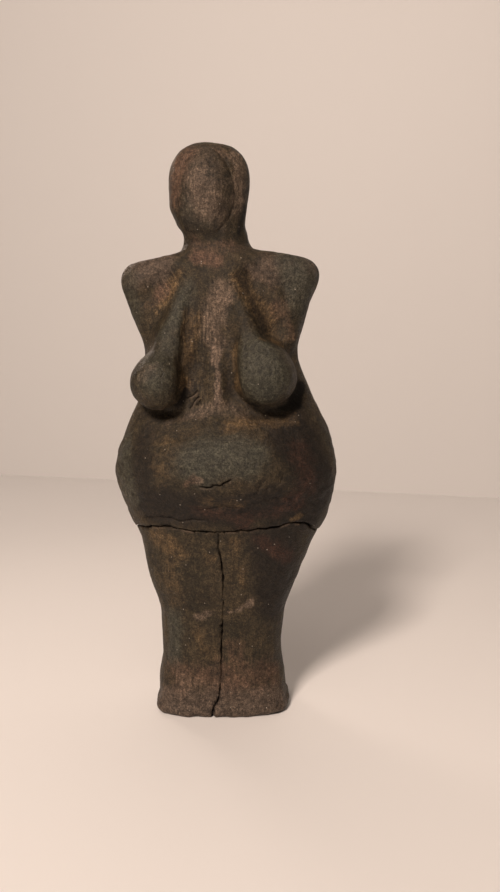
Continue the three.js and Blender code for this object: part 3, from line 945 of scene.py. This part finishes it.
def clay_material():
    g = Graph("smoked_clay")
    metres = g.node("ShaderNodeTexCoord", {}).outputs["Object"]
    place = g.vector("MULTIPLY", metres, (1 / PART,) * 3)
    streaks = rubbing_strokes(g, place)
    mottle = g.noise(place, scale=0.32, detail=5.0, roughness=0.65)
    pitted = g.noise(place, scale=0.55, detail=3.0)
    grain = g.noise(place, scale=1.25, detail=5.0, roughness=0.75)
    grit = g.noise(place, scale=3.0, detail=2.0)
    sparkle = glints(g, place)

    colour = colour_with_stains_and_painted_light(g, place, mottle, streaks)
    colour = grained_colour(g, colour, grain, grit, pitted, streaks)
    # Painted highlight on the lower lips of the hip crack, the navel and the tool marks
    colour = g.mix(g.math("MULTIPLY", g.painted("lip_highlight"), 0.75), colour, PAINTED_LIP_HIGHLIGHT)
    # Painted shade in the hollows, darkest where other clay closes in
    colour = g.mix(g.math("MULTIPLY", g.painted("hollow"), 0.5), colour, PAINTED_SHADE_IN_HOLLOWS)
    # Painted shade inside the cracks, the navel and the tool marks
    colour = g.mix(g.painted("crack"), colour, PAINTED_SHADE_IN_CRACKS)
    # Painted glints
    colour = g.mix(g.math("MULTIPLY", sparkle, 0.8), colour, GLINT)

    g.feed(g.shader.inputs["Base Color"], colour)
    g.feed(g.shader.inputs["Roughness"], clay_roughness(g, mottle, sparkle))
    g.feed(g.shader.inputs["Normal"], clay_bump(g, grain, grit, pitted, streaks))
    g.shader.inputs["Specular IOR Level"].default_value = 0.28
    return g.material


def paint_marks(mesh, places, normals):
    cracks = [hip_crack(places), leg_crack(places), navel(places), 0.9 * tool_marks(places)]
    paint(mesh, "crack", np.max(cracks, axis=0))
    # How much other clay closes in on each point, for the painted shade in the hollows
    paint(mesh, "hollow", 0.5 * hollowness(places, normals, 3.0) + 0.5 * hollowness(places, normals, 8.0))
    # Where the highlight on the lower lips of the marks is painted
    paint(mesh, "lip_highlight", highlit_lips(places))


def paint_strokes(mesh, places):
    """Where the rubbing slants, where it runs level and where it is strong."""
    slanting_right = stained(places, [BESIDE_RIGHT_BREAST])
    slanting_left = stained(places, [BESIDE_LEFT_BREAST])
    chest = stained(places, [RUBBED_CHEST])
    stroked = [slanting_right, 0.7 * slanting_left, chest, stained(places, SMEARED)]
    paint(mesh, "slanting_right", slanting_right)
    paint(mesh, "slanting_left", slanting_left)
    paint(mesh, "level", within(places[:, 2], *LEVEL_STROKE_HEIGHTS))
    paint(mesh, "stroked", np.max(stroked, axis=0))


def make_piece():
    places, normals, shaped, triangles = make_figure()
    middle = (places.min(axis=0) + places.max(axis=0)) / 2
    middle[2] = 0
    mesh = bpy.data.meshes.new("figurine_clay")
    mesh.from_pydata(((shaped - middle) * PART).tolist(), [], triangles.tolist())
    mesh.shade_smooth()
    for name, stains in STAINS_AND_PAINTED_LIGHT.items():
        paint(mesh, name, stained(places, stains))
    paint_marks(mesh, places, normals)
    paint_strokes(mesh, places)
    mesh.materials.append(clay_material())
    piece = bpy.data.objects.new("figurine_clay", mesh)
    bpy.context.collection.objects.link(piece)
    return piece


# The camera, the stage and the light

CAMERA_PLACE = (8.1, -245.8, 118.4)
CAMERA_PITCH = -7
LENS, SENSOR_HEIGHT = 29.95, 36.0
FLOOR_WHITE, WALL_WHITE = (0.86, 0.85, 0.84), (0.74, 0.73, 0.72)
FLOOR_SIDE, FLOOR_FRONT, FLOOR_BACK = 1.5, -1.2, 0.9
WALL_DISTANCE, WALL_HEIGHT, WALL_TURN = 0.42, 1.5, 15
LIGHT_COLOUR = (1.0, 0.82, 0.70)
ROOM_LIGHT = 0.05


def plain_material(name, colour, roughness=0.6):
    material = bpy.data.materials.new(name)
    material.use_nodes = True
    shader = material.node_tree.nodes["Principled BSDF"]
    shader.inputs["Base Color"].default_value = (*colour, 1)
    shader.inputs["Roughness"].default_value = roughness
    return material


def make_camera():
    data = bpy.data.cameras.new("camera")
    data.sensor_fit = "VERTICAL"
    data.sensor_height = SENSOR_HEIGHT
    data.lens = LENS
    camera = bpy.data.objects.new("camera", data)
    camera.location = Vector(CAMERA_PLACE) * PART
    camera.rotation_euler = (math.radians(90 + CAMERA_PITCH), 0, 0)
    bpy.context.collection.objects.link(camera)
    bpy.context.scene.camera = camera


def make_panel(name, corners, colour):
    mesh = bpy.data.meshes.new(name)
    mesh.from_pydata(corners, [], [tuple(range(len(corners)))])
    mesh.materials.append(plain_material(name, colour))
    panel = bpy.data.objects.new(name, mesh)
    bpy.context.collection.objects.link(panel)


def make_stage():
    side, front, back = FLOOR_SIDE, FLOOR_FRONT, FLOOR_BACK
    floor = [(-side, front, 0), (side, front, 0), (side, back, 0), (-side, back, 0)]
    make_panel("floor", floor, FLOOR_WHITE)
    slope = math.tan(math.radians(WALL_TURN))
    left, right = (-side, WALL_DISTANCE + side * slope), (side, WALL_DISTANCE - side * slope)
    wall = [(*left, 0), (*right, 0), (*right, WALL_HEIGHT), (*left, WALL_HEIGHT)]
    make_panel("backdrop", wall, WALL_WHITE)


def make_area_light(name, azimuth, elevation, distance, size, power, spread=180):
    """A soft square light that shines at the figure. Azimuth 0 is in front and 90 on its right."""
    a, e = math.radians(azimuth), math.radians(elevation)
    towards = Vector((math.sin(a) * math.cos(e), -math.cos(a) * math.cos(e), math.sin(e)))
    data = bpy.data.lights.new(name, "AREA")
    data.size = size
    data.energy = power
    data.spread = math.radians(spread)
    data.color = LIGHT_COLOUR
    light = bpy.data.objects.new(name, data)
    light.location = Vector((0, 0, 0.1)) + towards * distance
    light.rotation_euler = towards.to_track_quat("Z", "Y").to_euler()
    bpy.context.collection.objects.link(light)


def make_light():
    make_area_light("key", azimuth=-24, elevation=38, distance=1.0, size=0.2, power=10.6)
    make_area_light("top", azimuth=-10, elevation=65, distance=0.9, size=0.4, power=0.8)
    make_area_light("behind", azimuth=-145, elevation=28, distance=0.48, size=0.12, power=0.05, spread=70)
    world = bpy.data.worlds.new("room")
    world.use_nodes = True
    background = world.node_tree.nodes["Background"]
    background.inputs["Color"].default_value = (*LIGHT_COLOUR, 1)
    background.inputs["Strength"].default_value = ROOM_LIGHT
    bpy.context.scene.world = world
    bpy.context.scene.view_settings.view_transform = "Standard"


make_camera()
figurine = make_piece()
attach(figurine, "root")
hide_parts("figurine")
make_stage()
make_light()
